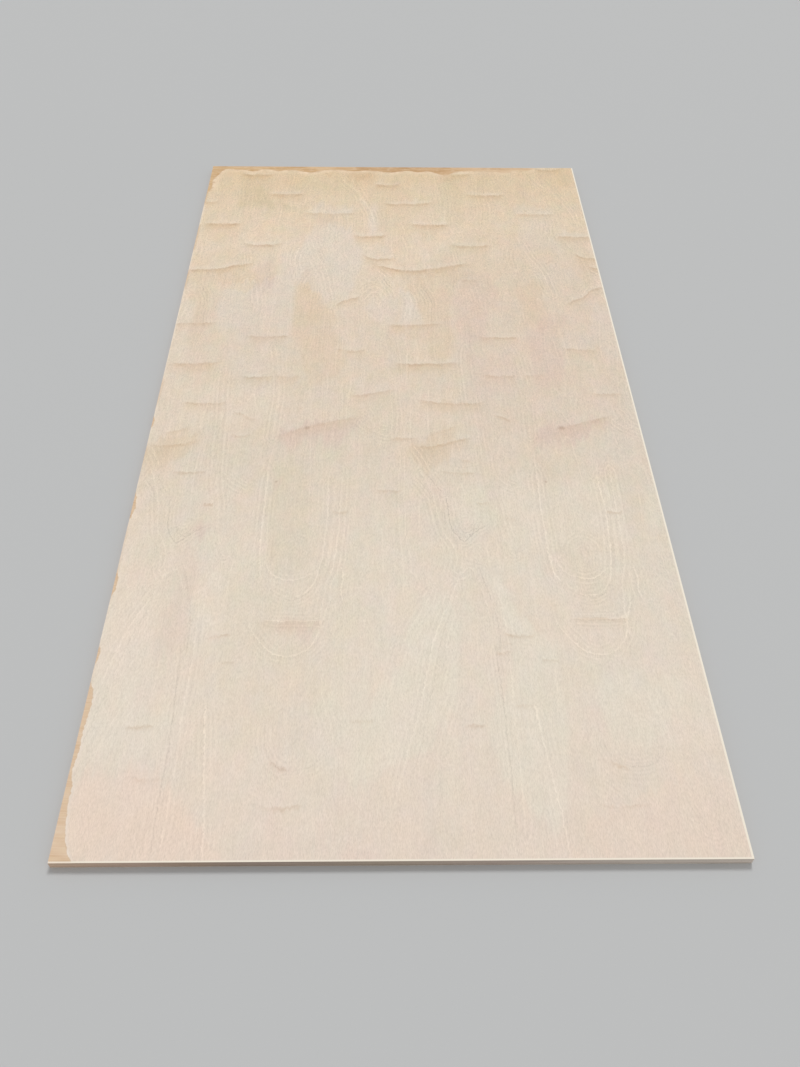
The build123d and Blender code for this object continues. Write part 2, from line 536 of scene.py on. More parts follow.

# %% [markdown]
# Ripple marks. Each one is a shallow crease, drawn as a few points joined across the sheet,
# with how dark its crease is, as painted shade, how pale the slope above it is, as a painted
# highlight, and how tan the wood below it is.
# A function makes the usual shape, a shallow bow with both ends turned up. The shader needs to
# know only how far above its nearest mark each place is, and how strong that mark is there.

# %% Ripple marks
def bow(x, y, half, rise=5, lean=0):
    """Points of a mark around x, y that turns up at its ends and may lean to one side."""
    return [(x - half, y + rise - lean), (x - 0.5 * half, y + 0.2 * rise - 0.5 * lean), (x, y),
            (x + 0.5 * half, y + 0.2 * rise + 0.5 * lean), (x + half, y + rise + lean)]


ripple_marks = [
    # points of the mark, crease as painted shade, painted highlight above, tan below
    (bow(-455, 1155, 55), 0.8, 0.3, 0.8),
    (bow(-350, 1028, 62), 0.9, 0.7, 0.6),
    (bow(-590, 978, 26), 0.5, 0.6, 0.4),
    (bow(-205, 908, 88, 8), 0.6, 0.8, 0.2),
    (bow(-540, 845, 64), 0.9, 0.7, 0.8),
    (bow(-75, 775, 56, 8), 0.9, 0.9, 0.6),
    (bow(-402, 724, 64, 14), 0.9, 0.8, 0.4),
    ([(-625, 592), (-560, 590), (-520, 595), (-480, 612), (-415, 626)], 1.0, 0.8, 0.9),
    ([(-100, 680), (-80, 660), (-55, 645), (-30, 652), (10, 655)], 0.8, 0.6, 0.5),
    ([(-70, 618), (-15, 602), (20, 590), (70, 589), (130, 602), (180, 620), (232, 628)], 1.0, 0.8, 0.9),
    ([(-172, 415), (-150, 433), (-130, 442), (-100, 452)], 0.8, 0.7, 0.5),
    (bow(-560, 323, 62, 4, 4), 0.7, 0.8, 0.5),
    (bow(-350, 264, 60), 0.9, 0.8, 0.6),
    (bow(-120, 204, 42), 0.6, 0.7, 0.5),
    (bow(-535, 146, 68, 4, 4), 0.9, 0.8, 0.9),
    (bow(-365, 90, 44), 0.8, 0.7, 0.5),
    (bow(-285, 92, 32), 0.6, 0.6, 0.4),
    ([(-118, 18), (-85, 19), (-60, 25), (-35, 34), (-6, 43)], 0.8, 0.7, 0.4),
    (bow(-490, -14, 60, 4), 0.9, 0.5, 0.8),
    ([(-305, -142), (-270, -122), (-225, -104), (-178, -86), (-130, -76), (-92, -60)], 0.45, 0.8, 0.8),
    ([(-600, -174), (-560, -174), (-520, -168), (-480, -150)], 0.7, 0.6, 0.6),
    ([(-575, -128), (-545, -118), (-510, -100)], 0.5, 0.3, 0.4),
    (bow(-385, -138, 26), 0.5, 0.3, 0.3),
    ([(-415, -52), (-390, -54), (-375, -68), (-350, -76)], 0.6, 0.6, 0.1),
    (bow(-492, -265, 42, 2), 0.9, 0.4, 0.2),
    (bow(-437, -369, 14, 2), 1.0, 0.2, 0.1),
    (bow(-133, -395, 20, 3), 0.9, 0.4, 0.1),
    (bow(-20, -327, 32, 3), 0.7, 0.3, 0.2),
    (bow(-225, -704, 76, 2), 0.05, 0.5, 1.2),
    (bow(415, -698, 66, 2), 0.05, 0.3, 0.8),
    (bow(-497, -956, 28, 2), 0.9, 0.2, 0.1),
    (bow(-460, -1066, 34, 2), 0.5, 0.2, 0.1),
    ([(-248, -1028), (-230, -1042), (-208, -1050)], 0.7, 0.3, 0.3),
    (bow(-222, -1124, 44, 4), 0.7, 0.3, 0.2),
    (bow(-75, -945, 26, 3), 0.5, 0.3, 0.1),
    ([(-395, -750), (-370, -745), (-345, -735)], 0.7, 0.5, 0.1),
    (bow(-345, -808, 16, 2), 0.5, 0.7, 0.1),
    (bow(-20, 1092, 44), 0.9, 0.5, 0.7),
    (bow(525, 1198, 46), 0.8, 0.7, 0.4),
    (bow(205, 1165, 60), 0.6, 0.9, 0.6),
    (bow(300, 1028, 66), 0.9, 0.7, 0.5),
    (bow(45, 970, 84, 10, 4), 0.8, 0.8, 0.4),
    (bow(450, 908, 66), 0.5, 0.7, 0.2),
    (bow(112, 845, 66), 0.9, 0.9, 0.7),
    (bow(562, 778, 62), 0.8, 1.0, 0.6),
    (bow(232, 722, 66, 10), 0.8, 0.7, 0.4),
    (bow(220, 540, 28), 0.5, 0.5, 0.2),
    ([(484, 415), (515, 441), (545, 456), (570, 490), (615, 515)], 0.8, 0.6, 0.4),
    ([(548, 684), (572, 662), (615, 650)], 0.8, 0.6, 0.6),
    ([(580, 612), (615, 600)], 0.9, 0.6, 0.6),
    (bow(60, 320, 84, 5, 4), 0.7, 0.8, 0.7),
    (bow(282, 262, 58), 0.8, 0.9, 0.4),
    (bow(500, 210, 50, 3, -6), 0.7, 1.0, 0.3),
    (bow(82, 146, 92, 5, 3), 1.0, 0.9, 0.9),
    (bow(272, 96, 46, 4), 0.6, 0.7, 0.4),
    (bow(365, 98, 28, 4), 0.5, 0.7, 0.2),
    (bow(545, 24, 40, 4), 0.6, 0.4, 0.3),
    ([(50, 2), (75, -8), (110, -14), (160, -16), (205, -12), (235, 2)], 0.9, 0.7, 0.8),
    ([(390, -112), (425, -100), (470, -84), (510, -74), (545, -56)], 0.6, 0.9, 0.7),
    ([(40, -178), (70, -178), (115, -166), (152, -150), (185, -146)], 0.9, 0.8, 0.8),
    ([(85, -124), (120, -116), (150, -96)], 0.5, 0.3, 0.5),
    (bow(15, -147, 40, 2), 0.6, 0.4, 0.2),
    ([(245, -58), (262, -66), (288, -78)], 0.7, 0.7, 0.1),
    (bow(165, -225, 14, 3), 0.5, 0.3, 0.1),
    (bow(145, -267, 44, 3), 0.8, 0.4, 0.2),
    (bow(197, -367, 17, 3), 0.9, 0.3, 0.1),
    (bow(497, -395, 22, 3), 0.8, 0.4, 0.1),
    (bow(257, -416, 15, 1, -3), 0.6, 0.2, 0.1),
    (bow(425, -702, 62, 2), 0.7, 0.8, 0.3),
    (bow(248, -743, 34, 3), 1.1, 0.8, 0.1),
    (bow(210, -785, 18, 2), 1.0, 0.2, 0.1),
    (bow(304, -806, 20, 3), 0.6, 0.7, 0.1),
    (bow(142, -956, 22, 2), 0.9, 0.3, 0.1),
    (bow(240, -911, 20, 2), 0.5, 0.2, 0.1),
    ([(385, -1030), (405, -1042), (425, -1052)], 0.7, 0.5, 0.1),
    (bow(400, -1122, 52, 2), 0.4, 0.2, 0.1),
]

above_mark = np.full(len(px), 100.0)
crease = np.zeros(len(px))
ripple_highlight = np.zeros(len(px))
mark_tan = np.zeros(len(px))
wiggle = 3.4 * drift(26, 60, 21.5) + 2.0 * drift(9, 30, 23.5)
tatter = 1.3 + 0.9 * drift(16, 200, 27.0)
for points, dark, pale, tan in ripple_marks:
    xs, ys = zip(*points)
    above = py - np.interp(px, xs, ys) - wiggle
    middle, half = (xs[0] + xs[-1]) / 2, (xs[-1] - xs[0]) / 2
    reach = 1 - soft_step(np.abs(px - middle) / half, 0.6, 1.08)
    near_line = reach * (1 - soft_step(np.abs(above), 16, 26))
    stronger = near_line * dark > crease
    above_mark = np.where(stronger, above, above_mark)
    crease = np.maximum(crease, near_line * dark)
    # The pale slope above each mark is a painted highlight
    above_fade = soft_step(above, 3, 18) * (1 - soft_step(above * tatter, 20, 50))
    below_fade = (1 - soft_step(above, -4, 2)) * soft_step(above, -58, -4) ** 1.5
    ripple_highlight = np.maximum(ripple_highlight, pale * reach * above_fade)
    mark_tan = np.maximum(mark_tan, tan * reach * below_fade)
crease *= np.interp(py, [-700, -200, 200, 800], [0.62, 0.66, 0.76, 0.95])
ripple_highlight *= np.interp(py, [-1000, -200, 400, 800], [0.3, 0.4, 0.5, 0.9])
mark_tan *= np.interp(py, [-1000, -200, 200, 800], [0.4, 0.9, 1.4, 1.8])
store("above_mark", above_mark)
store("crease", crease)
print(len(ripple_marks), "ripple marks")

# %% [markdown]
# Tone patches. Sapwood is pale and a little blue, heart is tan or pink, and wood from near a
# knot turns olive. A patch is the cut through one such layer of the log, so it is long, follows
# the grain and often narrows to a point, like a flame. Each is drawn by its left and right side
# at a few places along the sheet, and chance makes its sides ragged. Two tones go with the
# ripples: cream where their upper slopes catch the light, and brown along their feet.

# %% Tone patches
flames = {
    # strength, then places along the sheet with the left and right side there, in mm
    "tan": [
        (0.8, [(1155, -505, -430), (1108, -500, -425)]),
        (0.7, [(1110, -500, -440), (1020, -500, -400), (950, -500, -330)]),
        (0.4, [(1150, -425, -310), (1045, -430, -290)]),
        (0.7, [(1025, -385, -350), (990, -380, -350)]),
        (0.9, [(1190, -175, -60), (1100, -150, -70)]),
        (0.3, [(1100, -50, 45), (900, -45, 60), (700, -60, 40)]),
        (0.5, [(842, -590, -470), (780, -580, -480), (740, -560, -470)]),
        (0.35, [(700, -612, -410), (600, -612, -415)]),
        (0.8, [(590, -612, -405), (545, -612, -405), (520, -612, -520)]),
        (0.5, [(530, -600, -540), (400, -575, -530), (230, -572, -525)]),
        (0.7, [(590, -276, -246), (540, -284, -238), (480, -288, -222), (420, -284, -196),
               (350, -284, -160), (300, -278, -172), (240, -268, -140), (180, -262, -132),
               (120, -245, -146), (85, -222, -170)]),
        (0.75, [(600, -5, 220), (560, -15, 215), (520, -10, 170), (450, 60, 160), (290, 85, 155),
                (160, 95, 145)]),
        (0.5, [(690, -70, -20), (600, -70, 60)]),
        (0.6, [(520, 350, 425), (420, 355, 420), (300, 360, 430)]),
        (0.7, [(142, -605, -490), (112, -605, -560)]),
        (0.8, [(142, -8, 165), (112, 0, 125)]),
        (0.7, [(-12, -540, -440), (-30, -530, -450)]),
        (0.8, [(-8, 88, 190), (-28, 95, 175)]),
        (0.8, [(-128, -540, -512), (-155, -590, -490), (-180, -612, -495), (-205, -612, -515),
               (-245, -600, -560)]),
        (0.85, [(-128, 100, 128), (-152, 66, 166), (-175, 26, 158), (-198, 20, 138), (-225, 33, 112),
                (-255, 55, 78)]),
        (0.6, [(318, -20, 75), (290, -15, 150), (240, 85, 150)]),
        (0.6, [(262, -410, -330), (238, -400, -370)]),
        (0.3, [(-1150, 40, 120), (-1205, 20, 110)]),
        (0.4, [(1180, 480, 600), (1090, 520, 600)]),
        (0.7, [(680, 545, 612), (590, 560, 612)]),
        (0.6, [(842, 60, 150), (785, 80, 130)]),
        (0.6, [(1160, 140, 215), (1112, 150, 210)]),
        (0.3, [(1120, 330, 440), (960, 350, 420)]),
        (0.4, [(-490, -284, -268), (-545, -284, -268)]),
    ],
    "pale": [
        (0.8, [(965, -258, -130), (912, -262, -125)]),
        (0.8, [(842, -252, -175), (800, -255, -135), (740, -275, -120), (700, -292, -98),
               (640, -300, -92), (540, -298, -118), (500, -235, -122), (455, -210, -135)]),
        (0.65, [(700, -345, -285), (560, -345, -285), (500, -420, -290), (480, -500, -295),
                (400, -505, -290), (285, -480, -290)]),
        (0.4, [(285, -480, -290), (200, -460, -290), (100, -440, -300)]),
        (0.7, [(950, -68, -52), (850, -80, -52), (792, -70, -45)]),
        (0.5, [(730, -75, 0), (680, -85, -5), (655, -60, -10)]),
        (0.8, [(512, 8, 22), (480, 15, 48), (440, 20, 54), (335, 5, 60)]),
        (0.6, [(450, -75, 15), (400, -85, 10), (335, -60, 0)]),
        (0.55, [(965, 385, 505), (912, 380, 510)]),
        (0.5, [(895, 400, 500), (800, 385, 490), (700, 370, 520)]),
        (0.55, [(660, 395, 440), (600, 405, 530), (520, 425, 560)]),
        (0.6, [(425, 570, 615), (330, 540, 615), (250, 530, 615), (190, 560, 615)]),
        (0.5, [(300, 470, 560), (222, 450, 560)]),
        (0.3, [(240, -600, -440), (160, -600, -460)]),
        (0.3, [(250, -160, -60), (210, -180, -60)]),
        (0.3, [(80, -120, 10), (40, -110, 0)]),
        (0.4, [(-330, -500, -470), (-430, -505, -455)]),
        (0.6, [(-690, -425, -400), (-745, -420, -370)]),
        (0.6, [(-690, 215, 240), (-742, 235, 275)]),
        (0.35, [(-760, -610, -480), (-1000, -600, -480)]),
        (0.3, [(-940, -560, -440), (-1100, -560, -440)]),
        (0.4, [(-900, -250, -160), (-1010, -240, -130)]),
        (0.4, [(-835, 400, 480), (-900, 380, 470)]),
        (0.35, [(90, 520, 612), (-330, 520, 612)]),
    ],
    "pink": [
        (0.6, [(640, -405, -360), (560, -410, -352), (490, -400, -350)]),
        (0.65, [(600, 215, 265), (500, 170, 300), (430, 165, 300), (350, 170, 260), (230, 170, 250)]),
        (0.7, [(370, 420, 500), (300, 365, 450), (120, 360, 450), (40, 360, 430)]),
        (0.5, [(200, 180, 330), (100, 190, 330), (30, 210, 300)]),
        (0.9, [(-75, -190, -95), (-110, -290, -110), (-162, -295, -140)]),
        (1.0, [(-78, 440, 540), (-110, 350, 500), (-168, 330, 420)]),
        (0.25, [(640, 170, 600), (200, 160, 600), (-130, 200, 580)]),
        (0.2, [(-1160, -280, -180), (-1225, -300, 0)]),
        (0.4, [(-500, -485, -440), (-600, -470, -430), (-700, -500, -440), (-790, -490, -430)]),
        (0.6, [(905, -250, -190), (855, -240, -190)]),
        (1.0, [(-432, -465, -420), (-460, -462, -440)]),
        (0.8, [(-284, -296, -274), (-300, -296, -274)]),
        (0.7, [(-702, -255, -185), (-730, -250, -150)]),
        (0.7, [(1108, -5, 22), (1080, -5, 22)]),
        (0.4, [(1110, 410, 440), (1010, 415, 440)]),
        (0.3, [(420, -520, -500), (300, -600, -520)]),
        (0.25, [(780, 260, 600), (620, 90, 600), (520, 280, 560)]),
        (0.35, [(-1030, -255, -205), (-1055, -255, -205)]),
    ],
    "olive": [
        (0.7, [(1110, -500, -430), (1000, -500, -400), (950, -500, -300)]),
        (0.4, [(1150, -260, -150), (1040, -330, -130)]),
        (0.6, [(1130, 150, 235), (1000, 160, 225), (850, 170, 220)]),
        (0.25, [(1170, 240, 340), (1050, 250, 340)]),
        (0.3, [(-735, -300, -180), (-770, -285, -180), (-810, -260, -210)]),
        (0.25, [(-600, 390, 470), (-700, 380, 460)]),
        (0.42, [(-230, -295, -215), (-400, -300, -210), (-540, -290, -190), (-590, -250, -215)]),
        (0.28, [(-230, 335, 390), (-420, 340, 400), (-560, 350, 440), (-590, 390, 430)]),
        (0.4, [(400, -282, -230), (345, -275, -200)]),
        (0.5, [(-340, -40, 20), (-360, -30, 10)]),
        (0.35, [(820, 240, 600), (640, 90, 600), (500, 180, 560)]),
        (0.22, [(-540, -350, -80), (-680, -370, -80), (-800, -370, -120), (-1010, -340, -180)]),
        (0.2, [(-615, -330, -240), (-660, -320, -110), (-720, -290, -110)]),
        (0.15, [(-565, -488, -470), (-620, -490, -450), (-700, -485, -436)]),
        (0.25, [(-561, 150, 168), (-616, 148, 188), (-696, 153, 202)]),
    ],
    "green": [
        (0.5, [(-640, 60, 110), (-700, 30, 130), (-800, 0, 120), (-900, -60, 110), (-1000, -90, 60),
               (-1070, -100, -60)]),
        (0.55, [(-590, 205, 222), (-700, 215, 255), (-770, 230, 320), (-850, 215, 320),
                (-950, 165, 320), (-1050, 180, 310), (-1150, 250, 295)]),
        (0.5, [(-295, 150, 205), (-380, 120, 215), (-445, 180, 230)]),
        (0.4, [(-840, 400, 560), (-900, 380, 560), (-1000, 400, 470)]),
        (0.5, [(-300, 585, 615), (-370, 575, 615), (-445, 555, 615)]),
        (0.3, [(-400, -60, 0), (-450, -50, -10)]),
        (0.35, [(-860, -160, -60), (-1060, -170, -60)]),
        (0.4, [(430, -612, -560), (340, -612, -570)]),
        (0.3, [(-900, -600, -400), (-1030, -600, -420)]),
    ],
    "rose": [
        (0.9, [(-1050, -590, -440), (-1150, -600, -380), (-1225, -600, -300)]),
        (0.5, [(-1060, 520, 605), (-1140, 360, 605), (-1225, 280, 605)]),
        (0.4, [(-520, -612, -480), (-760, -600, -500)]),
    ],
    "cream": [
        (0.65, [(1010, -122, -102), (950, -94, -72), (880, -82, -60), (810, -76, -56)]),
        (0.8, [(565, -18, -2), (520, 4, 24), (470, 24, 44), (400, 32, 50), (345, 22, 44)]),
        (1.0, [(-590, 206, 218), (-650, 212, 228), (-700, 216, 250), (-735, 240, 278)]),
        (1.0, [(-594, -432, -420), (-654, -426, -410), (-704, -422, -388), (-739, -398, -360)]),
        (1.0, [(-592, -415, -385), (-622, -415, -385)]),
        (0.9, [(-820, 455, 478), (-850, 428, 468), (-885, 396, 440)]),
        (0.6, [(-950, -102, -70), (-1060, -96, -74)]),
        (0.6, [(-910, 246, 264), (-1025, 244, 266)]),
        (0.6, [(-1070, 262, 298), (-1150, 252, 290)]),
        (0.9, [(-535, 215, 250), (-555, 215, 250)]),
        (0.9, [(-290, 240, 520), (-500, 240, 520)]),
        (0.7, [(-620, -612, -500), (-1010, -612, -520)]),
        (0.6, [(390, -612, -560), (-160, -612, -560)]),
        (0.6, [(60, -560, -290), (-90, -560, -290)]),
        (0.4, [(-820, 380, 600), (-1010, 400, 600)]),
    ],
    "brown": [
        (0.5, [(1155, -505, -430), (1130, -500, -430)]),
        (0.5, [(1025, -385, -350), (990, -380, -350)]),
        (0.4, [(840, -585, -490), (822, -580, -500)]),
        (0.5, [(1190, -150, -70), (1150, -140, -70)]),
        (0.4, [(588, -560, -440), (570, -520, -450)]),
        (0.5, [(586, 20, 150), (572, 40, 130)]),
        (0.4, [(140, 30, 130), (128, 40, 120)]),
        (0.3, [(-168, -580, -520), (-190, -590, -530), (-215, -580, -560)]),
        (0.3, [(-168, 50, 130), (-190, 45, 115), (-215, 55, 75)]),
        (0.4, [(838, 70, 150), (825, 80, 145)]),
        (0.5, [(1158, 160, 215), (1140, 165, 210)]),
        (0.6, [(1200, -280, -30), (1186, -240, -60)]),
        (0.5, [(1196, 120, 225), (1176, 150, 215)]),
        (0.35, [(1198, 260, 420), (1186, 280, 400)]),
        (0.35, [(1196, -500, -330), (1186, -470, -360)]),
    ],
}


# A flame's sides are soft over this many mm, and its ends over up to that many
SIDE_SOFTNESS = 13
END_SOFTNESS = 34


def tone_field(shapes, seed):
    """How much of one tone each place has: 0 outside its flames, and their strength inside."""
    x = px + 9 * drift(40, 110, seed) + 4 * drift(11, 60, seed + 1)
    y = py + 20 * drift(34, 150, seed + 2) + 34 * drift(13, 210, seed + 3)
    total = np.zeros(len(px))
    for strength, rows in shapes:
        along, lefts, rights = zip(*sorted(rows))
        side = soft_step(x - np.interp(y, along, lefts), -SIDE_SOFTNESS, SIDE_SOFTNESS)
        side = side * soft_step(np.interp(y, along, rights) - x, -SIDE_SOFTNESS, SIDE_SOFTNESS)
        fade = min(END_SOFTNESS, 0.5 * (along[-1] - along[0]) + 6)
        end = soft_step(y, along[0] - fade, along[0] + fade)
        end = end * (1 - soft_step(y, along[-1] - fade, along[-1] + fade))
        total = np.maximum(total, strength * side * end)
    return total


# Some tones also come and go by slow chance: how much, in what size across and along, and its seed
slow = {"tan": (0.25, 120, 520, 31.0), "pale": (0.25, 90, 480, 37.0), "pink": (0.25, 140, 380, 43.0),
        "olive": (0.2, 100, 420, 47.0), "green": (0.15, 110, 360, 53.0), "rose": (0.15, 160, 420, 57.0)}
# Above each ripple mark the painted highlight joins the cream tone, and below it the wood takes a tan tone
from_marks = {"tan": mark_tan, "cream": ripple_highlight}
for number, (tone, shapes) in enumerate(flames.items()):
    field = np.maximum(tone_field(shapes, 50.0 + 10 * number), from_marks.get(tone, 0))
    if tone in slow:
        amount, across, along, seed = slow[tone]
        field = field + amount * (0.5 + 0.5 * drift(across, along, seed))
    store(tone, field)

# %% [markdown]
# Along the sanded-through strips the veneer thins to a feather. The wood there is pale and
# scuffed, and the crossband below shines through in ragged islands. The shader needs to know how
# far a place is from the worn outline, and the distance across or along the sheet is near enough.

# %% Distance from the worn outline
WORN_REACH = 60.0
x_worn = np.interp(py, side_low[:, 0], side_low[:, 1])
y_worn = np.interp(px, end_low[:, 0], end_low[:, 1])
from_left = np.where(x_worn > left + 0.3, px - x_worn, WORN_REACH)
from_far = np.where(y_worn < far - 0.3, y_worn - py, WORN_REACH)
store("from_worn", np.clip(np.minimum(from_left, from_far), 0, WORN_REACH))

# %% [markdown]
# The face: rotary-peeled birch, sanded with a wide belt and left raw. Raw birch is a dull, warm
# cream with almost no gloss. The far third of this sheet is yellower and the near end pinker. The
# tones stored above are mixed into that cream one after another. Then one number lightens or
# darkens the mix: faint fibres, wider streaks, slow clouds and the ring lines all add to it.

# %% Face material: raw sanded birch
face_birch, tree, shader = new_material("rotary_birch_belt_sanded")
coords = add(tree, "TexCoord").outputs["Object"]
xyz = add(tree, "SeparateXYZ", {0: coords}).outputs

down_sheet = add(tree, "MapRange", {0: xyz["Y"], 1: near / MM, 2: far / MM})
base = add(tree, "ValToRGB", {"Fac": down_sheet}, stops=[
    (0.00, "#EFDECD"),
    (0.10, "#F0E1CF"),
    (0.28, "#EEE0CD"),
    (0.42, "#E9D9C4"),
    (0.62, "#EAD7C0"),
    (0.80, "#EFDBC1"),
    (0.93, "#EBD4B3"),
    (1.00, "#E8CDA6"),
])

# Chance patterns in the wood: size in mm across and along, and how much each lightens or darkens
# the face at the near end and at the far end
grain_patterns = [
    ("pores", 1.1, 6.0, 0.092, 0.085),
    ("specks", 3.0, 7.0, 0.005, 0.110),
    ("flecks", 4.0, 14.0, 0.020, 0.062),
    ("fibres", 2.6, 90.0, 0.011, 0.026),
    ("streaks", 6.0, 120.0, 0.010, 0.016),
    ("bands", 16.0, 420.0, 0.010, 0.015),
    ("clouds", 30.0, 50.0, 0.010, 0.014),
]
lightness = 0.0
grain = {}
for name, across, along, near_amount, far_amount in grain_patterns:
    grain[name] = chance(tree, across, along, across)
    swing = add(tree, "MapRange", {0: grain[name], 1: 0.3, 2: 0.7, 3: -1.0, 4: 1.0}, clamp=False)
    amount = add(tree, "MapRange", {0: down_sheet, 3: near_amount, 4: far_amount})
    lightness = add(tree, "Math", {0: swing, 1: amount, 2: lightness}, operation="MULTIPLY_ADD")

# Fine jitter frays every drawn line: so much of a ring's width, and so many mm of the others
FRAY_RING, FRAY_ECHO, FRAY_LINE, FRAY_MARK = 0.40, 4.0, 11.0, 16.0
jitter = chance(tree, 8, 11, 8, detail=3.0, Roughness=0.6)
jitter = add(tree, "Math", {0: jitter, 1: -0.5})

# Faint ring lines: pale with a darker twin. The ring number divided by its slope says how far
# away the next whole ring is, so a lone line stays thin and close ones share their room. They
# keep away from the strong lines and are calmer at the near end.
ring_profile = [(0.10, 0.50), (0.27, 0.28), (0.40, 0.50), (0.48, 1.00), (0.55, 0.85), (0.68, 0.42),
                (0.88, 0.48)]
ring_at = add(tree, "Attribute", attribute_name="ring").outputs["Fac"]
slope = add(tree, "Attribute", attribute_name="ring_slope").outputs["Fac"]
to_ring = add(tree, "Math", {0: ring_at, 1: 0.5, 2: -0.5}, operation="WRAP")
room = add(tree, "MapRange", {0: slope, 1: 0.012, 2: 0.042, 3: 0.28, 4: 1.0})
to_ring = add(tree, "Math", {0: to_ring, 1: room}, operation="DIVIDE")
to_ring = add(tree, "Math", {0: jitter, 1: FRAY_RING, 2: to_ring}, operation="MULTIPLY_ADD")
to_ring = add(tree, "Math", {0: to_ring, 1: 0.5})
ring_line = add(tree, "ValToRGB", {"Fac": to_ring}, stops=ring_profile)
show = chance(tree, 50, 150, 50, detail=1.0)
ring_share = add(tree, "MapRange", {0: show, 1: 0.40, 2: 0.66, 3: 0.045, 4: 0.180})
from_line = add(tree, "Attribute", attribute_name="from_line").outputs["Fac"]
away = add(tree, "MapRange", {0: from_line, 1: 8.0, 2: ECHO_REACH, 3: 0.3})
ring_share = add(tree, "Math", {0: ring_share, 1: away}, operation="MULTIPLY")
calmer = add(tree, "MapRange", {0: down_sheet, 1: 0.10, 2: 0.42, 3: 0.5})
ring_share = add(tree, "Math", {0: ring_share, 1: calmer}, operation="MULTIPLY")
ring_swing = add(tree, "Math", {0: ring_line, 1: -0.5})
lightness = add(tree, "Math", {0: ring_swing, 1: ring_share, 2: lightness}, operation="MULTIPLY_ADD")

# Echoes: fainter rings run beside each strong line, so many mm apart
NEAR_PITCH, FAR_PITCH = 9.0, 12.0
pitch = add(tree, "MapRange", {0: down_sheet, 3: NEAR_PITCH, 4: FAR_PITCH})
echo = add(tree, "Math", {0: jitter, 1: FRAY_ECHO, 2: from_line}, operation="MULTIPLY_ADD")
echo = add(tree, "Math", {0: echo, 1: pitch}, operation="DIVIDE")
echo = add(tree, "Math", {0: echo, 1: 2 * math.pi}, operation="MULTIPLY")
echo = add(tree, "Math", {0: echo}, operation="SINE")
echo_share = add(tree, "MapRange", {0: from_line, 2: ECHO_REACH})
echo_share = add(tree, "ValToRGB", {"Fac": echo_share}, stops=[(0.10, 0.0), (0.24, 1.0), (0.95, 0.0)])
echo_shown = add(tree, "MapRange", {0: show, 1: 0.36, 2: 0.56, 3: 0.020, 4: 0.062})
echo_share = add(tree, "Math", {0: echo_share, 1: echo_shown}, operation="MULTIPLY")
echo_share = add(tree, "Math", {0: echo_share, 1: calmer}, operation="MULTIPLY")
lightness = add(tree, "Math", {0: echo, 1: echo_share, 2: lightness}, operation="MULTIPLY_ADD")

# Strong ring lines: a pale stroke about 3 mm wide with a darker one to each side, weaker in
# places. A strength below zero turns pale and dark round.
HALF_STROKE = 12.0
beside = add(tree, "Attribute", attribute_name="beside_line").outputs["Fac"]
beside = add(tree, "Math", {0: jitter, 1: FRAY_LINE, 2: beside}, operation="MULTIPLY_ADD")
beside = add(tree, "Math", {0: grain["pores"], 1: 5.0, 2: beside}, operation="MULTIPLY_ADD")
beside = add(tree, "Math", {0: beside, 1: -2.5})
stroke = add(tree, "MapRange", {0: beside, 1: -HALF_STROKE, 2: HALF_STROKE})
stroke = add(tree, "ValToRGB", {"Fac": stroke}, stops=[
    (0.22, 0.50), (0.34, 0.37), (0.43, 0.49), (0.50, 1.00), (0.57, 0.60), (0.65, 0.43), (0.78, 0.50)])
stroke = add(tree, "Math", {0: stroke, 1: -0.5})
strength = add(tree, "Attribute", attribute_name="line_strength").outputs["Fac"]
broken = add(tree, "MapRange", {0: show, 1: 0.36, 2: 0.58, 3: 0.15, 4: 0.25})
strength = add(tree, "Math", {0: strength, 1: broken}, operation="MULTIPLY")
lightness = add(tree, "Math", {0: stroke, 1: strength, 2: lightness}, operation="MULTIPLY_ADD")

# The hue wanders by a shade from place to place, more so at the far end
HUE_SWING = (0.19, 0.05, 0.18)
hue = chance(tree, 42, 60, 42, detail=3.0).outputs["Color"]
hue = add(tree, "VectorMath", {0: hue, 1: (-0.5, -0.5, -0.5)})
hue = add(tree, "VectorMath", {0: hue, 1: HUE_SWING}, operation="MULTIPLY")
hue_share = add(tree, "MapRange", {0: down_sheet, 2: 0.5, 3: 0.55})
hue = add(tree, "VectorMath", {0: hue, "Scale": hue_share}, operation="SCALE")
hue = add(tree, "VectorMath", {0: hue, 1: (1.0, 1.0, 1.0)})

# Patches of tone: where one is faint, only some fibres and ring bands take it
# The cream tone carries the painted highlight above the ripple marks as well as cream patches
tones = [("tan", "#DBB684", 0.22), ("pale", "#E6DFD8", 0.34), ("pink", "#DCB7AE", 0.30),
         ("olive", "#CCC099", 0.30), ("green", "#EEEBD8", 0.45), ("rose", "#F8DCC8", 0.40),
         ("cream", "#F8ECDA", 0.26), ("brown", "#C7965E", 0.40)]
streaky = add(tree, "Math", {0: grain["fibres"], 1: 2.0}, operation="MULTIPLY")
streaky = add(tree, "Math", {0: ring_line, 1: 0.7, 2: streaky}, operation="MULTIPLY_ADD")
colour = add(tree, "VectorMath", {0: base, 1: hue}, operation="MULTIPLY")
for name, tone_colour, share in tones:
    amount = add(tree, "Attribute", attribute_name=name).outputs["Fac"]
    taken = add(tree, "Math", {0: amount, 1: 1.7, 2: streaky}, operation="MULTIPLY_ADD")
    taken = add(tree, "MapRange", {0: taken, 1: 1.15, 2: 2.10, 4: share})
    amount = add(tree, "Math", {0: amount, 1: taken}, operation="MULTIPLY")
    colour = add(tree, "Mix", {0: amount, 6: colour, 7: tone_colour}, data_type="RGBA")

# The face grows a little darker to the right
DARKER_PER_METRE = 0.03
shade = add(tree, "Math", {0: xyz["X"], 1: -DARKER_PER_METRE, 2: lightness}, operation="MULTIPLY_ADD")
shade = add(tree, "Math", {0: shade, 1: 1.0})
colour = add(tree, "VectorMath", {0: colour, "Scale": shade}, operation="SCALE")
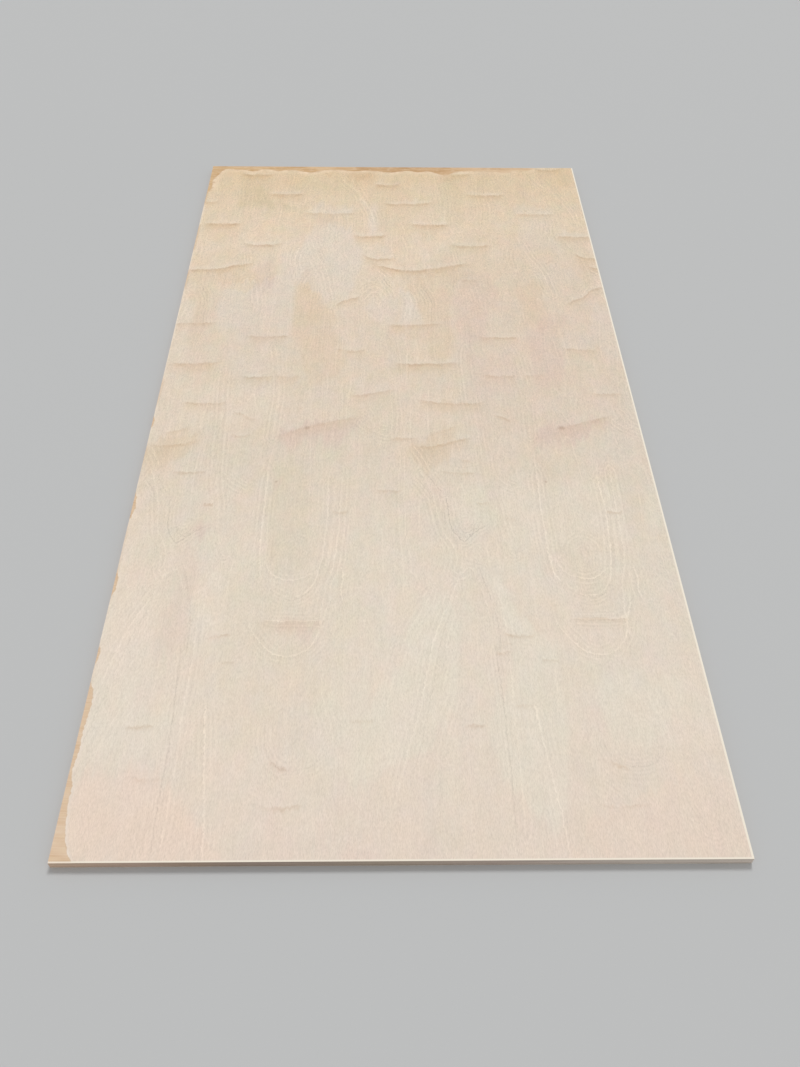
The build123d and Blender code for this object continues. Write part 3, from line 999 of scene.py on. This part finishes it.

# Ripple marks: painted shade, brown, in the crease and a painted highlight on the slope above it,
# frayed by the fibres, and narrower at the near end
MARK_BELOW, MARK_ABOVE = -14.0, 34.0
above = add(tree, "Attribute", attribute_name="above_mark").outputs["Fac"]
above = add(tree, "Math", {0: jitter, 1: FRAY_MARK, 2: above}, operation="MULTIPLY_ADD")
above = add(tree, "Math", {0: grain["fibres"], 1: 8.0, 2: above}, operation="MULTIPLY_ADD")
above = add(tree, "Math", {0: above, 1: -4.0})
finer = add(tree, "MapRange", {0: down_sheet, 3: 1.7, 4: 0.9})
above = add(tree, "Math", {0: above, 1: finer}, operation="MULTIPLY")
crease = add(tree, "Attribute", attribute_name="crease").outputs["Fac"]
uneven = add(tree, "MapRange", {0: grain["clouds"], 1: 0.35, 2: 0.65, 3: 0.5, 4: 1.3})
crease = add(tree, "Math", {0: crease, 1: uneven}, operation="MULTIPLY")
across_mark = add(tree, "MapRange", {0: above, 1: MARK_BELOW, 2: MARK_ABOVE})
# The first colour is painted shade in the crease, the second a painted highlight above it
mark_shades = [
    ("#B48A5A", [(0.00, 0.0), (0.10, 0.08), (0.21, 0.20), (0.29, 0.42), (0.35, 0.34), (0.43, 0.13),
                 (0.52, 0.0)]),
    ("#FCF2E0", [(0.43, 0.0), (0.49, 0.34), (0.56, 0.09), (0.68, 0.07), (0.80, 0.04), (1.00, 0.0)]),
]
for mark_colour, stops in mark_shades:
    amount = add(tree, "ValToRGB", {"Fac": across_mark}, stops=stops)
    amount = add(tree, "Math", {0: amount, 1: crease}, operation="MULTIPLY")
    colour = add(tree, "Mix", {0: amount, 6: colour, 7: mark_colour}, data_type="RGBA")

# Pin knots: a twig grew through the log here and left a brown spot of a few millimetres
KNOT_BROWN = "#8F6848"
knots = [
    # x, y and radius in mm
    (-224, -104, 3.4),
    (411, -104, 4.0),
    (-286, -294, 1.8),
    (351, -294, 1.8),
]
for x, y, radius in knots:
    gap = add(tree, "VectorMath", {0: coords, 1: (x / MM, y / MM, face_top / MM)}, operation="DISTANCE")
    gap = add(tree, "Math", {0: gap, 1: MM / radius, 2: grain["flecks"]}, operation="MULTIPLY_ADD")
    spot = add(tree, "MapRange", {0: gap, 1: 1.2, 2: 3.2, 3: 0.30, 4: 0.0})
    colour = add(tree, "Mix", {0: spot, 6: colour, 7: KNOT_BROWN}, data_type="RGBA")

# Worn edge: a scuffed pale lip, then the tan crossband through the thinning feather. Both are
# wide and ragged at the far end and a thin clean line at the near one.
CROSSBAND_TAN = "#DDBD97"
across_sheet = add(tree, "MapRange", {0: xyz["X"], 1: left / MM, 2: right / MM})
from_worn = add(tree, "Attribute", attribute_name="from_worn").outputs["Fac"]
narrow = add(tree, "MapRange", {0: down_sheet, 3: 4.0, 4: 1.0})
from_worn = add(tree, "Math", {0: from_worn, 1: narrow}, operation="MULTIPLY")
lip = add(tree, "Math", {0: grain["flecks"], 1: 12.0, 2: from_worn}, operation="MULTIPLY_ADD")
lip = add(tree, "MapRange", {0: lip, 1: 6.0, 2: 36.0})
lip = add(tree, "ValToRGB", {"Fac": lip}, stops=[(0.00, 0.6), (0.14, 0.90), (0.45, 0.50), (1.00, 0.0)])
lip_here = add(tree, "MapRange", {0: across_sheet, 1: 0.3, 3: 1.0, 4: 0.4})
lip_here = add(tree, "Math", {0: lip, 1: lip_here}, operation="MULTIPLY")
lip_shown = add(tree, "MapRange", {0: grain["clouds"], 1: 0.40, 2: 0.60, 3: 0.40, 4: 1.15})
lip_here = add(tree, "Math", {0: lip_here, 1: lip_shown}, operation="MULTIPLY")
lip_colour = add(tree, "Mix", {0: down_sheet, 6: "#FCEEE0", 7: "#FCE2C1"}, data_type="RGBA")
colour = add(tree, "Mix", {0: lip_here, 6: colour, 7: lip_colour}, data_type="RGBA")
ragged = chance(tree, 20, 12, 20, detail=3.0)
ragged = add(tree, "Math", {0: ragged, 1: -44.0, 2: from_worn}, operation="MULTIPLY_ADD")
bare = add(tree, "MapRange", {0: ragged, 1: -22.0, 2: -14.0, 3: 0.8, 4: 0.0})
colour = add(tree, "Mix", {0: bare, 6: colour, 7: CROSSBAND_TAN}, data_type="RGBA")

# The sander leaves the left margin of the face thin: tan where the wood below tints it, and
# pale where the saw has furred its edge
MARGIN = 7.0
margin = add(tree, "MapRange", {0: xyz["X"], 1: left / MM, 2: (left + MARGIN) / MM, 3: 0.60, 4: 0.0})
margin = add(tree, "Math", {0: margin, 1: down_sheet}, operation="MULTIPLY")
margin_colour = add(tree, "ValToRGB", {"Fac": show}, stops=[(0.44, "#D6AE7A"), (0.54, "#FFF3E0")])
colour = add(tree, "Mix", {0: margin, 6: colour, 7: margin_colour}, data_type="RGBA")

# The sharp upper edge, the arris, is furred by the saw at the near end and the right side, and it
# catches the light there: a painted highlight, pale for some 3 mm at the near end, and for 2 mm more at the
# right
ARRIS_HIGHLIGHT = "#FFF5E3"
near_inset = add(tree, "Math", {0: xyz["Y"], 1: -1.0, 2: near / MM}, operation="MULTIPLY_ADD")
right_inset = add(tree, "Math", {0: xyz["X"], 1: -(right - 1.0) / MM})
arris = add(tree, "Math", {0: near_inset, 1: right_inset}, operation="MAXIMUM")
arris = add(tree, "MapRange", {0: arris, 1: -3.6 / MM, 2: -2.2 / MM, 4: 0.95})
colour = add(tree, "Mix", {0: arris, 6: colour, 7: ARRIS_HIGHLIGHT}, data_type="RGBA")

relief = add(tree, "Bump", {"Height": shade, "Strength": 0.35, "Distance": 0.0002})
fill(shader, {"Base Color": colour, "Roughness": 0.62, "IOR": 1.5, "Normal": relief})
face_mesh.materials.append(face_birch)
print("face material:", len(tree.nodes), "nodes")

# %% [markdown]
# The core: rotary birch again, thicker and plainer, laid crosswise in turn. On the sawn edges of
# the board it shows as stripes. A veneer whose grain runs along the edge shows smooth pale long
# grain, and one whose grain runs out of the edge shows darker end grain with open pores. A thin
# brown glue line parts them, and the saw leaves fine upright scores. One function makes both
# materials, because they differ only in the way the grain runs.

# %% Core materials: sawn edges and the bare crossband
low_corner, high_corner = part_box("core_veneer_01_across")
CORE_THICKNESS = (high_corner.z - low_corner.z) * MM
GLUE_BROWN = "#7B6650"


def core_material(name, grain_axis, seed):
    """Birch core veneer with its grain along X or Y, its sawn edges and its sanded top."""
    material, tree, shader = new_material(name)
    xyz = add(tree, "SeparateXYZ", {0: add(tree, "TexCoord").outputs["Object"]}).outputs
    facing = add(tree, "SeparateXYZ", {0: add(tree, "NewGeometry").outputs["Normal"]}).outputs

    # End grain shows on the faces that look along the grain
    towards = add(tree, "Math", {0: facing[grain_axis]}, operation="ABSOLUTE")
    end_grain = add(tree, "Math", {0: towards, 1: 0.5}, operation="GREATER_THAN")

    # Every veneer came from its own stretch of log, so each has its own tone
    ply = add(tree, "Math", {0: xyz["Z"], 1: MM / CORE_THICKNESS, 2: -0.5 + seed}, operation="MULTIPLY_ADD")
    ply_number = add(tree, "Math", {0: ply}, operation="FLOOR")
    ply_tone = add(tree, "TexWhiteNoise", {"W": ply_number}, noise_dimensions="1D")

    streak_sizes = {"X": (90, 2.2, 0.5), "Y": (2.2, 90, 0.5)}[grain_axis]
    streaks = chance(tree, *streak_sizes, detail=3.0)
    long_colour = add(tree, "ValToRGB", {"Fac": streaks}, stops=[
        (0.25, "#E7D9C9"), (0.5, "#F0E5D8"), (0.75, "#F7EFE6")])

    pores = chance(tree, 0.45, 0.45, 0.45)
    end_colour = add(tree, "ValToRGB", {"Fac": pores}, stops=[
        (0.30, "#CDBEB1"), (0.48, "#E0D3C7"), (0.72, "#ECE1D7")])
    colour = add(tree, "Mix", {0: end_grain, 6: long_colour, 7: end_colour}, data_type="RGBA")
    tone = add(tree, "MapRange", {0: ply_tone, 3: 0.84, 4: 1.10})
    colour = add(tree, "VectorMath", {0: colour, "Scale": tone}, operation="SCALE")

    # Painted shade along the edge: darkest left of the middle, lighter at the left end and lightest at the
    # right; it also varies in slow smudges
    smudges = chance(tree, 130, 130, 8, detail=3.0)
    smudge = add(tree, "MapRange", {0: smudges, 1: 0.3, 2: 0.7, 3: 0.88, 4: 1.10})
    across_sheet = add(tree, "MapRange", {0: xyz["X"], 1: left / MM, 2: right / MM})
    colour = add(tree, "VectorMath", {0: colour, "Scale": smudge}, operation="SCALE")
    painted_edge_shading = add(tree, "ValToRGB", {"Fac": across_sheet}, stops=[
        (0.00, "#FAE4D2"), (0.12, "#E7D4CB"), (0.20, "#CFBFB2"), (0.30, "#CBBFBA"), (0.46, "#D2CAC0"),
        (0.64, "#DED5D3"), (0.83, "#FBFAFA"), (1.00, "#FFFDFC")])
    colour = add(tree, "Mix", {0: 1.0, 6: colour, 7: painted_edge_shading}, data_type="RGBA", blend_type="MULTIPLY")

    # Glue lines: squeezed resin at both joints of the veneer, about 0.1 mm of it in each
    within = add(tree, "Math", {0: ply}, operation="FRACT")
    off_middle = add(tree, "Math", {0: within, 1: -0.5})
    off_middle = add(tree, "Math", {0: off_middle}, operation="ABSOLUTE")
    glue = add(tree, "MapRange", {0: off_middle, 1: 0.42, 2: 0.47, 4: 0.5})
    up = add(tree, "Math", {0: facing["Z"]}, operation="ABSOLUTE")
    on_edge = add(tree, "Math", {0: up, 1: 0.5}, operation="LESS_THAN")
    glue = add(tree, "Math", {0: glue, 1: on_edge}, operation="MULTIPLY")
    colour = add(tree, "Mix", {0: glue, 6: colour, 7: GLUE_BROWN}, data_type="RGBA")

    # The sanded top, bare only along the worn strips: tan crossband with its grain across
    top_streaks = chance(tree, 120, 3.0, MM, detail=3.0)
    stains = chance(tree, 85, 30, MM)
    top_mix = add(tree, "Math", {0: top_streaks, 1: stains})
    top_mix = add(tree, "Math", {0: top_mix, 1: 0.5}, operation="MULTIPLY")
    far_top = add(tree, "ValToRGB", {"Fac": top_mix}, stops=[
        (0.34, "#C49562"), (0.45, "#DAB587"), (0.56, "#E6C499"), (0.68, "#F0D3AC")])
    far_tint = add(tree, "ValToRGB", {"Fac": across_sheet}, stops=[
        (0.00, "#FAF6EE"), (0.30, "#FFFDFB"), (0.44, "#EDE3D9"), (0.60, "#F1E8E0"), (0.72, "#FCF8F6"),
        (0.80, "#FFFFFF")])
    far_top = add(tree, "Mix", {0: 1.0, 6: far_top, 7: far_tint}, data_type="RGBA", blend_type="MULTIPLY")
    near_top = add(tree, "ValToRGB", {"Fac": top_mix}, stops=[
        (0.34, "#DCBB97"), (0.45, "#E7C9A9"), (0.56, "#ECD1B4"), (0.68, "#F0DAC2")])
    down_sheet = add(tree, "MapRange", {0: xyz["Y"], 1: near / MM, 2: far / MM})
    paler = add(tree, "MapRange", {0: across_sheet, 1: 0.66, 2: 0.76, 3: 1.0, 4: 0.5})
    far_share = add(tree, "Math", {0: down_sheet, 1: paler}, operation="MULTIPLY")
    top_colour = add(tree, "Mix", {0: far_share, 6: near_top, 7: far_top}, data_type="RGBA")
    scuffs = chance(tree, 24, 8, MM, detail=3.0)
    scuff = add(tree, "MapRange", {0: scuffs, 1: 0.52, 2: 0.62, 4: 0.4})
    top_colour = add(tree, "Mix", {0: scuff, 6: top_colour, 7: "#EFD5B3"}, data_type="RGBA")
    # Painted highlight: the near arris of the bare top is painted pale where it catches the light
    arris = add(tree, "MapRange", {0: xyz["Y"], 1: (near + 2.5) / MM, 2: (near + 4.0) / MM,
                                   3: 0.8, 4: 0.0})
    top_colour = add(tree, "Mix", {0: arris, 6: top_colour, 7: "#FFF3E2"}, data_type="RGBA")
    is_top = add(tree, "Math", {0: facing["Z"], 1: 0.5}, operation="GREATER_THAN")
    colour = add(tree, "Mix", {0: is_top, 6: colour, 7: top_colour}, data_type="RGBA")

    # Upright saw scores, a tooth mark every millimetre or so, and open pores in the end grain
    scores = chance(tree, 1.1, 1.1, 40, detail=1.0)
    roughness = add(tree, "Math", {0: pores, 1: end_grain, 2: scores}, operation="MULTIPLY_ADD")
    relief = add(tree, "Bump", {"Height": roughness, "Strength": 0.5, "Distance": 0.0004})
    fill(shader, {"Base Color": colour, "Roughness": 0.75, "IOR": 1.5, "Normal": relief})
    return material


across_birch = core_material("birch_core_grain_across", "X", 3.0)
along_birch = core_material("birch_core_grain_along", "Y", 3.0)
for node_name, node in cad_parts.items():
    if node_name.startswith("core"):
        node.data.materials.clear()
        node.data.materials.append(across_birch if node_name.endswith("across") else along_birch)
print("core materials on", sum(n.startswith("core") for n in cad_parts), "veneers")

# %% [markdown]
# The back veneer lies on the floor and is seen only when the sheet is turned. It is the same
# birch, sanded, with no wear, so its rings can come from the shader alone: slow chance, stretched
# along the grain, is cut into contour lines.

# %% Back material
RINGS_PER_HILL = 26.0
back_birch, tree, shader = new_material("rotary_birch_back")
hills = chance(tree, 260, 1100, 260, detail=1.0)
rings = add(tree, "Math", {0: hills, 1: RINGS_PER_HILL}, operation="MULTIPLY")
rings = add(tree, "Math", {0: rings}, operation="FRACT")
ring_shade = add(tree, "ValToRGB", {"Fac": rings}, stops=[
    (0.00, 0.50), (0.10, 0.68), (0.24, 0.15), (0.45, 0.42), (1.00, 0.50)])
fibres = chance(tree, 2.4, 90, 2.4, detail=3.0)
heart = chance(tree, 90, 900, 90)
wood = add(tree, "ValToRGB", {"Fac": heart}, stops=[
    (0.30, "#E0C8A6"), (0.50, "#E5D4BB"), (0.70, "#EADFCF")])
shade = add(tree, "Math", {0: ring_shade, 1: 0.20, 2: 0.86}, operation="MULTIPLY_ADD")
shade = add(tree, "Math", {0: fibres, 1: 0.08, 2: shade}, operation="MULTIPLY_ADD")
wood = add(tree, "VectorMath", {0: wood, "Scale": shade}, operation="SCALE")
relief = add(tree, "Bump", {"Height": fibres, "Strength": 0.3, "Distance": 0.0003})
fill(shader, {"Base Color": wood, "Roughness": 0.65, "IOR": 1.5, "Normal": relief})
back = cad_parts["back_veneer"]
back.data.materials.clear()
back.data.materials.append(back_birch)
print("back material:", len(tree.nodes), "nodes")
